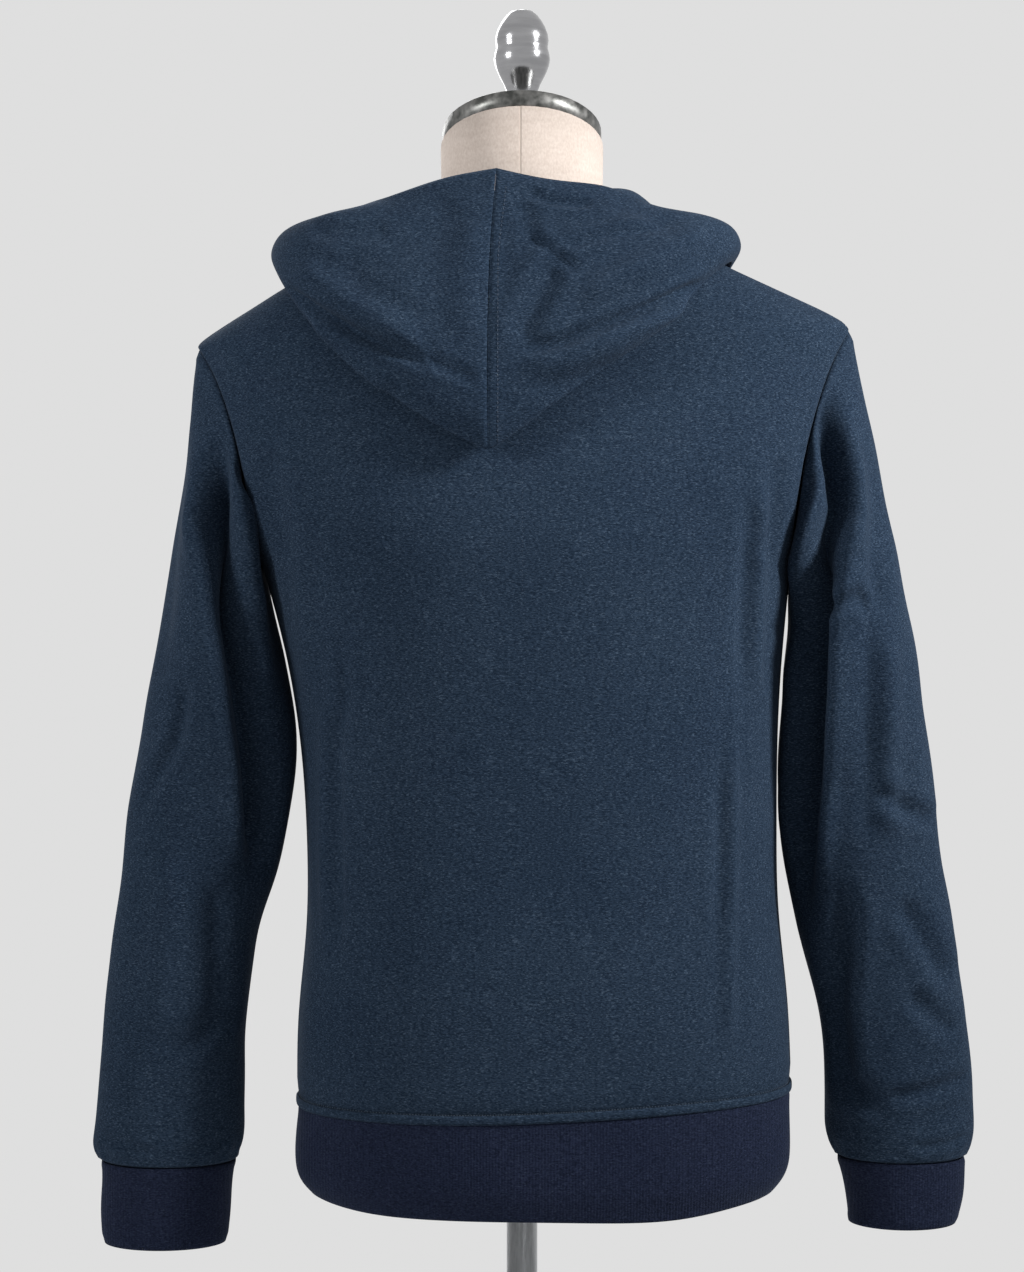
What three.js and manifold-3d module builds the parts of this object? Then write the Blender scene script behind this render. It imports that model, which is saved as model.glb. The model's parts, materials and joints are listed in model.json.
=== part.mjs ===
import * as THREE from 'three';
import Module from 'manifold-3d';

const wasm = await Module();
wasm.setup();
const { Manifold, Mesh } = wasm;

// Driving sizes, in millimetres. +X is the wearer's left, +Y the back, +Z up.
const WALL = { body: 2.0, rib: 2.4, hood: 2.0, tape: 0.9 };
const SEAM = 0.3;
const COLUMNS = 8;
const ROWS_BELOW_ARMPIT = 6;
const ROWS_OF_ARMHOLE = 8;
const ROWS_OF_SHOULDER = 4;
const ARMHOLE = { top: 805.5, bottom: 637 };
const ZIP = { gap: 5.2, chain: 2.3, tapeEdge: 2.6, tapeWidth: 11, top: 816 };
const SLIDER = { z: 797, width: 9, length: 12, thick: 3.0 };
const TAB = { width: 6, length: 27, thick: 1.2, window: 6.5, bar: 1.4 };
const STAND = { plate: 150, plateHeight: 10, hub: 30, pole: 11, flange: 36, formFoot: 232 };
const NECK = { top: 940, tilt: 19.8 * Math.PI / 180, form: 58.4, cap: 57, capHeight: 12.5 };

const table = (columns, rows) => rows.map(
  row => Object.fromEntries(columns.map((name, k) => [name, row[k]])));

// A smooth curve through one column of a table that never overshoots its rows.
function curve(rows, key, name) {
  const x = rows.map(row => row[key]);
  const y = rows.map(row => row[name]);
  const last = x.length - 1;
  const slope = [];
  for (let k = 0; k < last; k += 1) slope.push((y[k + 1] - y[k]) / (x[k + 1] - x[k]));
  const tangent = x.map((_, k) => {
    if (k === 0) return slope[0];
    if (k === last) return slope[last - 1];
    if (slope[k - 1] * slope[k] <= 0) return 0;
    return 2 * slope[k - 1] * slope[k] / (slope[k - 1] + slope[k]);
  });
  return at => {
    let k = 0;
    while (k < last - 1 && at > x[k + 1]) k += 1;
    const h = x[k + 1] - x[k];
    const t = Math.min(1, Math.max(0, (at - x[k]) / h));
    const t2 = t * t;
    const t3 = t2 * t;
    return y[k] * (2 * t3 - 3 * t2 + 1) + h * tangent[k] * (t3 - 2 * t2 + t)
      + y[k + 1] * (3 * t2 - 2 * t3) + h * tangent[k + 1] * (t3 - t2);
  };
}

const smooth = (a, b, value) => {
  const t = Math.min(1, Math.max(0, (value - a) / (b - a)));
  return t * t * (3 - 2 * t);
};

// The outside of the sweater's body: a row per level from the hem's edge to the neck.
const TORSO = table(['z', 'shift', 'half', 'back', 'front', 'power'], [
  [192, -13.5, 163.5, 112, 111, 2.3],
  [205, -13.2, 175.8, 119, 118, 2.3],
  [220, -15.4, 179.6, 122, 121, 2.3],
  [262, -15.6, 176.4, 121, 120, 2.3],
  [292, -16, 180, 124, 123, 2.3],
  [328, -15.3, 175.8, 123, 122, 2.3],
  [364, -14.8, 169.4, 121, 120, 2.3],
  [390, -15, 167.6, 120, 119, 2.3],
  [436, -14.6, 167.6, 119, 118, 2.3],
  [472, -13.6, 168, 119, 119, 2.3],
  [520, -12, 170.5, 120, 121, 2.3],
  [560, -10, 174, 122, 124, 2.3],
  [600, -8, 181, 125, 128, 2.3],
  [637, -3.5, 188.5, 126, 130, 2.3],
  [660, -1, 199, 126, 129, 2.3],
  [684, 0, 209, 124, 127, 2.3],
  [721, 0, 217, 119, 121, 2.3],
  [744, -0.5, 223, 114, 114, 2.3],
  [770, -1, 227.5, 106, 105, 2.3],
  [790, -1.5, 232.5, 98, 97, 2.3],
  [805.5, -1.5, 236, 92, 91.5, 2.25],
  [820, -1.5, 210, 86, 86, 2.2],
  [840, -1.5, 172, 79, 78, 2.2],
  [860, -1, 133, 74, 70, 2.15],
  [875, 0, 101, 70, 65, 2.1],
  [885, 0, 83, 68, 63, 2.05],
  [896, 0, 66.5, 65, 61.5, 2],
  [908, 0, 61.5, 61.5, 60.8, 2],
  [930, 0, 60.6, 60.6, 60.6, 2],
  [980, 0, 60.6, 60.6, 60.6, 2],
]);
const torso = Object.fromEntries(
  ['shift', 'half', 'back', 'front', 'power'].map(name => [name, curve(TORSO, 'z', name)]));

// The right shoulder point sits higher than the left one.
const SHOULDER_LEAN = 6.5;
const lean = (x, z) => -Math.sign(x) * SHOULDER_LEAN
  * smooth(150, 232, Math.abs(x)) * smooth(690, 790, z);

// angle 0 is the wearer's left side, 90 degrees the middle of the back, -90 the middle of the front.
function torsoPoint(angle, z) {
  const c = Math.cos(angle);
  const s = Math.sin(angle);
  const power = 2 / torso.power(z);
  const depth = s >= 0 ? torso.back(z) : torso.front(z);
  const x = torso.shift(z) + torso.half(z) * Math.sign(c) * Math.abs(c) ** power;
  const y = depth * Math.sign(s) * Math.abs(s) ** power;
  return new THREE.Vector3(x, y, z + lean(x, z));
}

function torsoNormal(angle, z) {
  const turn = 0.02;
  const round = torsoPoint(angle + turn, z).sub(torsoPoint(angle - turn, z));
  const up = torsoPoint(angle, z + 2).sub(torsoPoint(angle, z - 2));
  return round.cross(up).normalize();
}

// 1 on the body's surface, less inside it.
function torsoLevel(p) {
  const z = p.z - lean(p.x, p.z);
  const power = torso.power(z);
  const depth = p.y >= 0 ? torso.back(z) : torso.front(z);
  return (Math.abs(p.x - torso.shift(z)) / torso.half(z)) ** power + (Math.abs(p.y) / depth) ** power;
}

// Moves a point outwards until it is clear of the body.
function liftOff(p, clearance) {
  const step = 1;
  const slope = new THREE.Vector3(
    torsoLevel(p.clone().setX(p.x + step)) - torsoLevel(p.clone().setX(p.x - step)),
    torsoLevel(p.clone().setY(p.y + step)) - torsoLevel(p.clone().setY(p.y - step)),
    torsoLevel(p.clone().setZ(p.z + step)) - torsoLevel(p.clone().setZ(p.z - step))).normalize();
  const moved = p.clone();
  for (let k = 0; k < 60; k += 1) {
    if (torsoLevel(moved.clone().addScaledVector(slope, -clearance)) >= 1) break;
    moved.addScaledVector(slope, 0.5);
  }
  return moved;
}

// Armhole seam: how far out it lies at each level, on the back and on the front.
const ARMHOLE_SEAM = table(['z', 'back', 'front'], [
  [637, 188.5, 188.5],
  [645, 189.3, 187.5],
  [660, 190.5, 184],
  [684, 193, 183],
  [700, 196, 185],
  [721, 199.5, 189],
  [744, 206, 196.5],
  [770, 214.5, 207.5],
  [790, 225, 220],
  [805.5, 236, 236],
]);
const armhole = { back: curve(ARMHOLE_SEAM, 'z', 'back'), front: curve(ARMHOLE_SEAM, 'z', 'front') };

function armholeAngle(face, z, outward) {
  if (z >= ARMHOLE.top || z <= ARMHOLE.bottom) return 0;
  const share = Math.min(1, (armhole[face](z) + outward) / torso.half(z));
  return Math.acos(share ** (torso.power(z) / 2));
}

// Neckline level for an angle away from the shoulder seam.
const NECKLINE = table(['angle', 'back', 'front'], [
  [0, 896, 896],
  [25, 894, 891],
  [51, 889, 878],
  [68, 886, 858],
  [77, 885, 838],
  [84, 884, 823],
  [90, 884, 818],
]);
const neckline = { back: curve(NECKLINE, 'angle', 'back'), front: curve(NECKLINE, 'angle', 'front') };

// Levels shared by the back and the fronts, from the hem seam to the neck.
const hemFoot = x => 189.5 + 5 * smooth(90, 175, Math.abs(x)) - 2 * smooth(90, 0, Math.abs(x + 100));
const hemSeam = x => 261 - 5 * (x / 178) + 2 * (x / 178) ** 2;
const armholeLevels = [];
for (let k = 0; k <= ROWS_OF_ARMHOLE; k += 1) {
  const mid = (ARMHOLE.top + ARMHOLE.bottom) / 2;
  const reach = (ARMHOLE.top - ARMHOLE.bottom) / 2;
  armholeLevels.push(mid - reach * Math.cos(Math.PI * k / ROWS_OF_ARMHOLE));
}

const rowCount = ROWS_BELOW_ARMPIT + ROWS_OF_ARMHOLE + ROWS_OF_SHOULDER + 1;
function level(row, angle, face, x) {
  if (row <= ROWS_BELOW_ARMPIT) {
    const share = row / ROWS_BELOW_ARMPIT;
    const foot = hemSeam(x) + SEAM / 2;
    return foot + (ARMHOLE.bottom - foot) * share;
  }
  if (row <= ROWS_BELOW_ARMPIT + ROWS_OF_ARMHOLE) return armholeLevels[row - ROWS_BELOW_ARMPIT];
  const share = (row - ROWS_BELOW_ARMPIT - ROWS_OF_ARMHOLE) / ROWS_OF_SHOULDER;
  const head = neckline[face](Math.abs(angle) * 180 / Math.PI);
  return ARMHOLE.top + (head - ARMHOLE.top) * share;
}

// side 1 is the wearer's left and -1 the right; share runs from the side seam (0) to the middle (1).
function panelPlace(face, side, row, share) {
  const rough = level(row, 0, face, 0);
  const away = Math.asin((SEAM / 2 / torso[face](rough)) ** (torso.power(rough) / 2));
  const start = Math.max(away, armholeAngle(face, rough, -SEAM / 2) + away * 0.5);
  const end = Math.PI / 2 - (face === 'front' ? frontEdgeAngle(rough) : 0);
  const turn = start + (end - start) * share;
  const facing = face === 'back' ? turn : -turn;
  const angle = side === 1 ? facing : Math.PI - facing;
  const x = torsoPoint(angle, rough).x;
  return { angle, z: level(row, turn, face, x) };
}

// The front edges stop short of the middle, and the zip fills the space.
function frontEdgeAngle(z) {
  return Math.asin((ZIP.gap / torso.half(z)) ** (torso.power(z) / 2));
}

const grid = (rows, columns, place) => Array.from({ length: rows },
  (_, i) => Array.from({ length: columns }, (__, j) => place(i, j)));

// Turns a grid of outside points and their inward directions into one closed cloth wall.
function wall(outer, inner, closed) {
  const rows = outer.length;
  const columns = outer[0].length;
  const position = [];
  for (const layer of [outer, inner]) {
    for (const row of layer) for (const p of row) position.push(p.x, p.y, p.z);
  }
  const index = [];
  const at = (layer, i, j) => layer * rows * columns + i * columns + (j % columns);
  const quad = (a, b, c, d) => index.push(a, b, c, a, c, d);
  const spans = closed ? columns : columns - 1;
  for (let i = 0; i < rows - 1; i += 1) {
    for (let j = 0; j < spans; j += 1) {
      quad(at(0, i, j), at(0, i, j + 1), at(0, i + 1, j + 1), at(0, i + 1, j));
      quad(at(1, i + 1, j), at(1, i + 1, j + 1), at(1, i, j + 1), at(1, i, j));
    }
    if (!closed) {
      quad(at(0, i + 1, 0), at(1, i + 1, 0), at(1, i, 0), at(0, i, 0));
      quad(at(0, i, spans), at(1, i, spans), at(1, i + 1, spans), at(0, i + 1, spans));
    }
  }
  for (let j = 0; j < spans; j += 1) {
    quad(at(1, 0, j), at(1, 0, j + 1), at(0, 0, j + 1), at(0, 0, j));
    quad(at(0, rows - 1, j), at(0, rows - 1, j + 1), at(1, rows - 1, j + 1), at(1, rows - 1, j));
  }
  return solid(position, index);
}

function solid(position, index) {
  let volume = 0;
  const corner = k => new THREE.Vector3(position[3 * k], position[3 * k + 1], position[3 * k + 2]);
  for (let k = 0; k < index.length; k += 3) {
    volume += corner(index[k]).dot(corner(index[k + 1]).cross(corner(index[k + 2])));
  }
  if (volume < 0) {
    for (let k = 0; k < index.length; k += 3) [index[k], index[k + 1]] = [index[k + 1], index[k]];
  }
  const geometry = new THREE.BufferGeometry();
  geometry.setAttribute('position', new THREE.Float32BufferAttribute(position, 3));
  geometry.setIndex(index);
  geometry.computeVertexNormals();
  return geometry;
}

const inward = (points, normals, depth) => points.map(
  (row, i) => row.map((p, j) => p.clone().addScaledVector(normals[i][j], -depth)));

// Outward directions of a grid from its own neighbours; turned by sign.
function gridNormals(points, closed, sign) {
  const rows = points.length;
  const columns = points[0].length;
  return points.map((row, i) => row.map((_, j) => {
    const left = closed ? (j + columns - 1) % columns : Math.max(0, j - 1);
    const right = closed ? (j + 1) % columns : Math.min(columns - 1, j + 1);
    const along = points[i][right].clone().sub(points[i][left]);
    const up = points[Math.min(rows - 1, i + 1)][j].clone().sub(points[Math.max(0, i - 1)][j]);
    return along.cross(up).normalize().multiplyScalar(sign);
  }));
}

const part = new THREE.Group();
function add(name, geometry, color) {
  const mesh = new THREE.Mesh(geometry, new THREE.MeshStandardMaterial({ name, color }));
  mesh.name = name;
  part.add(mesh);
}
const NAVY = 0x2a3442;
const NAVY_DARK = 0x1c2330;

// Back panel: one piece from side seam to side seam.
const backPlace = (i, j) => (j <= COLUMNS
  ? panelPlace('back', 1, i, j / COLUMNS)
  : panelPlace('back', -1, i, (2 * COLUMNS - j) / COLUMNS));
const panelWall = places => {
  const points = places.map(row => row.map(({ angle, z }) => torsoPoint(angle, z)));
  const normals = places.map(row => row.map(({ angle, z }) => torsoNormal(angle, z)));
  return wall(points, inward(points, normals, WALL.body), false);
};
add('back_panel', panelWall(grid(rowCount, 2 * COLUMNS + 1, backPlace)), NAVY);

// Left and right fronts, each from its side seam to the zip.
for (const [name, side] of [['front_left', 1], ['front_right', -1]]) {
  const places = grid(rowCount, COLUMNS + 1, (i, j) => panelPlace('front', side, i, j / COLUMNS));
  add(name, panelWall(places), NAVY);
}

// Hem band: one piece round the bottom, open at the zip.
const BAND_LEVELS = [0, 0.35, 0.72, 0.88, 1];
const bandColumns = [];
for (let j = COLUMNS; j >= 0; j -= 1) bandColumns.push(['front', 1, j / COLUMNS]);
for (let j = 1; j <= COLUMNS; j += 1) bandColumns.push(['back', 1, j / COLUMNS]);
for (let j = COLUMNS - 1; j >= 0; j -= 1) bandColumns.push(['back', -1, j / COLUMNS]);
for (let j = 1; j <= COLUMNS; j += 1) bandColumns.push(['front', -1, j / COLUMNS]);
const bandPlaces = grid(BAND_LEVELS.length, bandColumns.length, (i, j) => {
  const { angle, z } = panelPlace(bandColumns[j][0], bandColumns[j][1], 0, bandColumns[j][2]);
  const top = z - SEAM;
  const foot = hemFoot(torsoPoint(angle, TORSO[0].z).x);
  return { angle, z: top + (foot - top) * BAND_LEVELS[i] };
});
const bandPoints = bandPlaces.map(row => row.map(({ angle, z }) => torsoPoint(angle, z)));
const bandNormals = bandPlaces.map(row => row.map(({ angle, z }) => torsoNormal(angle, z)));
add('hem_band', wall(bandPoints, inward(bandPoints, bandNormals, WALL.rib), false), NAVY_DARK);

// Sleeves hang empty from the armhole; a row per level gives the outer and inner edge.
const SLEEVE = {
  left: table(['z', 'outer', 'inner', 'depth', 'y'], [
    [590, 262, 174, 62, 0],
    [560, 267.5, 166, 60, -0.5],
    [520, 275, 160.5, 56, -1],
    [472, 283.5, 162.5, 53, -2],
    [436, 288, 169.8, 52, -3],
    [400, 292, 182.2, 51, -4],
    [364, 297, 191.4, 50, -4],
    [328, 300.7, 195.7, 49, -5],
    [292, 303.6, 200, 48, -5],
    [256, 306.5, 199.8, 47, -6],
    [236, 309, 198, 47, -6],
    [224, 310.5, 198.5, 46, -6],
    [213, 304.5, 204.5, 43, -6],
  ]),
  right: table(['z', 'outer', 'inner', 'depth', 'y'], [
    [590, 281, 190.7, 62, 0],
    [560, 286, 186, 60, -0.5],
    [520, 291.5, 183.5, 56, -1],
    [472, 298.6, 183, 53, -2],
    [436, 304, 185.5, 52, -3],
    [400, 308, 191.4, 51, -4],
    [364, 314.5, 201.4, 50, -4],
    [328, 321, 211.5, 49, -5],
    [292, 324, 217, 48, -5],
    [256, 325.5, 218.5, 47, -6],
    [238, 327.5, 217.5, 47, -6],
    [226, 325, 220, 45.5, -6],
    [216, 320, 226, 42.5, -6],
  ]),
};
const CUFF = {
  left: table(['z', 'outer', 'inner', 'depth', 'y'], [
    [213, 304.5, 204.5, 43, -6],
    [198, 303.5, 207, 42, -6],
    [178, 304, 209, 41, -6.5],
    [154, 302.5, 212, 40, -7],
  ]),
  right: table(['z', 'outer', 'inner', 'depth', 'y'], [
    [216, 320, 226, 42.5, -6],
    [202, 320, 230, 41.5, -6],
    [186, 320, 232, 40.5, -6.5],
    [168.5, 314, 234, 40, -7],
  ]),
};
// How far the seam's outer and inner side set out sideways on their way down.
const CAP_SPREAD = { left: { outer: 20, inner: 15 }, right: { outer: 44, inner: 15 } };
const AROUND = 2 * ROWS_OF_ARMHOLE;
const UNDERARM_CLEAR = 1.2;
const tubePoint = (side, row, turn, z) => new THREE.Vector3(
  side * ((row.outer + row.inner) / 2 + (row.outer - row.inner) / 2 * Math.cos(turn)),
  row.y + row.depth * Math.sin(turn), z);

// k runs from the shoulder point down the back to the armpit and up the front.
function armholePoint(side, k) {
  const face = k <= ROWS_OF_ARMHOLE ? 'back' : 'front';
  const row = k <= ROWS_OF_ARMHOLE ? ROWS_OF_ARMHOLE - k : k - ROWS_OF_ARMHOLE;
  const squeeze = 1 - SEAM * 2 / (ARMHOLE.top - ARMHOLE.bottom);
  const mid = (ARMHOLE.top + ARMHOLE.bottom) / 2;
  const z = mid + (armholeLevels[row] - mid) * squeeze;
  const turn = armholeAngle(face, armholeLevels[row], SEAM);
  const facing = face === 'back' ? turn : -turn;
  const angle = side === 1 ? facing : Math.PI - facing;
  const normal = torsoNormal(angle, z);
  const under = smooth(-0.3, -0.95, Math.cos(Math.PI * k / ROWS_OF_ARMHOLE));
  return { point: torsoPoint(angle, z).addScaledVector(normal, UNDERARM_CLEAR * under), normal };
}

const CAP_STEPS = [0, 0.14, 0.32, 0.52, 0.76, 1];
function sleeveGrid(side, rows, spread) {
  const seam = Array.from({ length: AROUND }, (_, k) => armholePoint(side, k));
  const first = rows[0];
  const points = CAP_STEPS.map(t => seam.map(({ point }, k) => {
    const turn = 2 * Math.PI * k / AROUND;
    const target = tubePoint(side, first, turn, first.z);
    const drop = point.z - target.z;
    const below = tubePoint(side, rows[1], turn, rows[1].z);
    const end = below.sub(target).multiplyScalar(drop / (first.z - rows[1].z));
    const start = new THREE.Vector3(
      side * (spread.outer * Math.max(0, Math.cos(turn)) + spread.inner * Math.min(0, Math.cos(turn))), 0, -drop);
    const a = 2 * t ** 3 - 3 * t ** 2 + 1;
    const b = t ** 3 - 2 * t ** 2 + t;
    const c = 3 * t ** 2 - 2 * t ** 3;
    const d = t ** 3 - t ** 2;
    const p = point.clone().multiplyScalar(a).addScaledVector(start, b)
      .addScaledVector(target, c).addScaledVector(end, d);
    return p.z < ARMHOLE.bottom ? liftOff(p, UNDERARM_CLEAR) : p;
  }));
  for (const row of rows.slice(1)) {
    points.push(seam.map((_, k) => tubePoint(side, row, 2 * Math.PI * k / AROUND, row.z)));
  }
  let normals = gridNormals(points, true, 1);
  if (normals[8][0].x * side < 0) normals = normals.map(row => row.map(n => n.negate()));
  // At the armpit the sleeve turns back under itself, so its edge faces down there.
  normals[0] = seam.map(({ normal }, k) => {
    const under = smooth(-0.3, -0.95, Math.cos(2 * Math.PI * k / AROUND));
    const down = new THREE.Vector3(-side * 0.3, 0, -1).normalize();
    return normal.clone().lerp(down, under).normalize();
  });
  return { points, normals };
}
for (const [name, side] of [['left', 1], ['right', -1]]) {
  const { points, normals } = sleeveGrid(side, SLEEVE[name], CAP_SPREAD[name]);
  add(`sleeve_${name}`, wall(points, inward(points, normals, WALL.body), true), NAVY);
}

// Cuffs: short ribbed tubes that continue each sleeve after its seam.
for (const [name, side] of [['left', 1], ['right', -1]]) {
  const rows = CUFF[name];
  const points = rows.map((row, i) => Array.from({ length: AROUND },
    (_, k) => tubePoint(side, row, 2 * Math.PI * k / AROUND, row.z - (i === 0 ? SEAM : 0))));
  const normals = points.map((row, i) => row.map((p, k) => {
    const turn = 2 * Math.PI * k / AROUND;
    return new THREE.Vector3(side * rows[i].depth * Math.cos(turn),
      (rows[i].outer - rows[i].inner) / 2 * Math.sin(turn), 0).normalize();
  }));
  add(`cuff_${name}`, wall(points, inward(points, normals, WALL.rib), true), NAVY_DARK);
}

// Hood, thrown back. Five lines run from the middle of the back (0) round the neck to the zip (1):
// the stand beside the neck, the bottom fold, the roll and crest of the outer layer, and its edge.
const LINE = ['u', 'x', 'y', 'z'];
const HOOD = {
  left: {
    stand: table(LINE, [[0, 2, 75, 901], [0.25, 53, 56, 906], [0.5, 76, 2, 910],
      [0.65, 73, -32, 904], [0.8, 58, -66, 884], [0.9, 38, -88, 862], [1, 11, -93, 834]]),
    fold: table(LINE, [[0, 24, 134, 709.5], [0.12, 62, 129, 728], [0.25, 104, 114, 760],
      [0.35, 140, 91, 794], [0.42, 158, 66, 820], [0.5, 170, 20, 845], [0.62, 158, -46, 840],
      [0.75, 118, -86, 817], [0.88, 62, -100, 816], [1, 12, -98, 836]]),
    roll: table(LINE, [[0, 24, 143, 740], [0.12, 64, 139, 756], [0.25, 108, 125, 789],
      [0.35, 149, 102, 820], [0.42, 171, 70, 843], [0.5, 182, 22, 862], [0.62, 169, -50, 859],
      [0.75, 122, -96, 838], [0.88, 64, -109, 836], [1, 13, -101, 842]]),
    crest: table(LINE, [[0, 23, 120, 840], [0.12, 60, 117, 848], [0.25, 100, 106, 864],
      [0.35, 140, 85, 875], [0.42, 162, 60, 879], [0.5, 171, 17, 880], [0.62, 154, -43, 873],
      [0.75, 114, -86, 856], [0.88, 60, -105, 850], [1, 14, -102, 849]]),
    edge: table(LINE, [[0, 18, 84, 914], [0.12, 50, 81, 909], [0.25, 84, 69, 900],
      [0.35, 110, 53, 893], [0.42, 125, 34, 888], [0.5, 131, 6, 885], [0.62, 118, -34, 878],
      [0.75, 88, -73, 868], [0.88, 50, -95, 860], [1, 15, -102, 857]]),
  },
  right: {
    stand: table(LINE, [[0, 2, 75, 901], [0.25, -53, 56, 906], [0.5, -76, 2, 910],
      [0.65, -73, -32, 904], [0.8, -58, -66, 884], [0.9, -38, -88, 862], [1, -11, -93, 834]]),
    fold: table(LINE, [[0, 24, 134, 709.5], [0.12, -14, 131, 737], [0.25, -62, 116, 772],
      [0.35, -98, 98, 801], [0.42, -124, 70, 830], [0.5, -149, 20, 857], [0.62, -144, -46, 845],
      [0.75, -113, -86, 819], [0.88, -60, -100, 816], [1, -12, -98, 836]]),
    roll: table(LINE, [[0, 24, 143, 740], [0.12, -16, 141, 765], [0.25, -66, 127, 799],
      [0.35, -104, 107, 828], [0.42, -134, 79, 851], [0.5, -159, 24, 869], [0.62, -153, -50, 862],
      [0.75, -118, -96, 840], [0.88, -62, -109, 836], [1, -13, -101, 842]]),
    crest: table(LINE, [[0, 23, 120, 840], [0.12, -18, 119, 850], [0.25, -66, 107, 868],
      [0.35, -104, 89, 879], [0.42, -133, 62, 884], [0.5, -151, 18, 885], [0.62, -142, -43, 878],
      [0.75, -110, -86, 858], [0.88, -58, -105, 850], [1, -14, -102, 849]]),
    edge: table(LINE, [[0, 18, 84, 914], [0.12, -22, 82, 906], [0.25, -60, 71, 904],
      [0.35, -88, 54, 893], [0.42, -104, 36, 887], [0.5, -118, 6, 885], [0.62, -112, -34, 882],
      [0.75, -86, -73, 868], [0.88, -50, -95, 860], [1, -15, -102, 857]]),
  },
};
const linePoint = rows => {
  const [x, y, z] = ['x', 'y', 'z'].map(name => curve(rows, 'u', name));
  return u => new THREE.Vector3(x(u), y(u), z(u));
};
const HOOD_DROP = [0.3, 0.62, 0.86];
const HOOD_BEND = [0.14, 0.3, 0.45, 0.6, 0.75, 0.88, 1];
const HOOD_CLEAR = 4.2;
for (const [name, side] of [['left', 1], ['right', -1]]) {
  const line = Object.fromEntries(Object.entries(HOOD[name]).map(([key, rows]) => [key, linePoint(rows)]));
  const stations = Array.from({ length: 2 * COLUMNS + 1 }, (_, j) => {
    const face = j <= COLUMNS ? 'back' : 'front';
    const share = j <= COLUMNS ? 1 - j / COLUMNS : (j - COLUMNS) / COLUMNS;
    const { angle, z } = panelPlace(face, side, rowCount - 1, share);
    const u = j / (2 * COLUMNS);
    const apart = j === 0 ? side * SEAM / 2 : 0;
    const seam = torsoPoint(angle, z + SEAM);
    if (j === 0) seam.x = 0;
    const [stand, fold, roll, crest, edge] = ['stand', 'fold', 'roll', 'crest', 'edge'].map(k => line[k](u));
    const flat = smooth(0.99, 0.8, u);
    const section = [seam, seam.clone().lerp(stand, 0.55), stand];
    for (const t of HOOD_DROP) section.push(liftOff(stand.clone().lerp(fold, t), HOOD_CLEAR));
    section.push(liftOff(fold, HOOD_CLEAR * 0.9 + flat));
    const bend = new THREE.CatmullRomCurve3([fold, roll, crest, edge], false, 'centripetal');
    for (const t of HOOD_BEND) section.push(bend.getPoint(t));
    for (const p of section) p.x += apart;
    return { section, normal: torsoNormal(angle, z + SEAM) };
  });
  const points = stations[0].section.map((_, i) => stations.map(station => station.section[i]));
  let normals = gridNormals(points, false, 1);
  const outside = normals[10][4].y > 0 ? 1 : -1;
  normals = normals.map(row => row.map(n => n.clone().multiplyScalar(outside)));
  normals[0] = stations.map(({ normal }) => normal);
  // The cloth turns over at the top of the stand, so its thickness points up out of the turn.
  normals[2] = points[2].map((p, j) => {
    const rise = p.clone().sub(points[1][j]).normalize();
    const fall = p.clone().sub(points[3][j]).normalize();
    const over = smooth(-0.2, 0.6, rise.dot(fall));
    return normals[2][j].clone().lerp(rise.add(fall).normalize().negate(), over).normalize();
  });
  for (const row of normals) row[0].setX(0).normalize();
  add(`hood_${name}`, wall(points, inward(points, normals, WALL.hood), false), NAVY);
}

// Zip: two tapes behind the front edges and the closed chain between them.
const zipLevels = bandPlaces.slice(1).map(row => row[0].z).reverse();
for (let i = 0; i <= ROWS_BELOW_ARMPIT + ROWS_OF_ARMHOLE; i += 1) {
  zipLevels.push(panelPlace('front', 1, i, 1).z);
}
zipLevels.push(ZIP.top);
const frontPoint = (offset, z) => {
  const turn = -Math.PI / 2 + Math.sign(offset)
    * Math.asin((Math.abs(offset) / torso.half(z)) ** (torso.power(z) / 2));
  return { point: torsoPoint(turn, z), normal: torsoNormal(turn, z) };
};
const strip = (offsets, outerDepths, innerDepth, levels) => {
  const places = levels.map(z => offsets.map(offset => frontPoint(offset, z)));
  const layer = depths => places.map(row => row.map(
    ({ point, normal }, j) => point.clone().addScaledVector(normal, -depths[j])));
  return wall(layer(outerDepths), layer(offsets.map(() => innerDepth)), false);
};
const tapeDepth = WALL.rib + 2 * SEAM;
const tapeDepths = [tapeDepth, tapeDepth, tapeDepth];
const tapeOffsets = [ZIP.tapeEdge, ZIP.tapeEdge + ZIP.tapeWidth / 2, ZIP.tapeEdge + ZIP.tapeWidth];
add('zip_tape_left', strip(tapeOffsets, tapeDepths, tapeDepth + WALL.tape, zipLevels), NAVY_DARK);
add('zip_tape_right', strip(tapeOffsets.map(x => -x), tapeDepths, tapeDepth + WALL.tape, zipLevels), NAVY_DARK);
add('zip_chain', strip([-ZIP.chain, -ZIP.chain / 2, 0, ZIP.chain / 2, ZIP.chain],
  [1.8, 1.3, 1.1, 1.3, 1.8], tapeDepth + 0.6, zipLevels), 0x30343c);

// Slider with its bridge, and the pull tab hung through the bridge, on the slope of the chest.
const seat = frontPoint(0, SLIDER.z);
const tilt = Math.atan2(seat.normal.z, -seat.normal.y);
const box = (w, d, h, x, y, z) => Manifold.cube([w, d, h], true).translate([x, y, z]);
const sliderFront = -(SLIDER.thick - 0.6);
const sliderBody = box(SLIDER.width, SLIDER.thick, SLIDER.length, 0, sliderFront + SLIDER.thick / 2, 0)
  .subtract(box(3, 6, 3.2, SLIDER.width / 2 + 0.4, 0, -SLIDER.length / 2))
  .subtract(box(3, 6, 3.2, -SLIDER.width / 2 - 0.4, 0, -SLIDER.length / 2));
const bridge = box(2.2, 4.2, 8.4, 0, sliderFront - 1.9, 0.6)
  .subtract(box(4, 2.7, 5.6, 0, sliderFront - 1.55, 0.6));
const tabY = sliderFront - 1.6;
const tabTop = 2.2;
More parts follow.
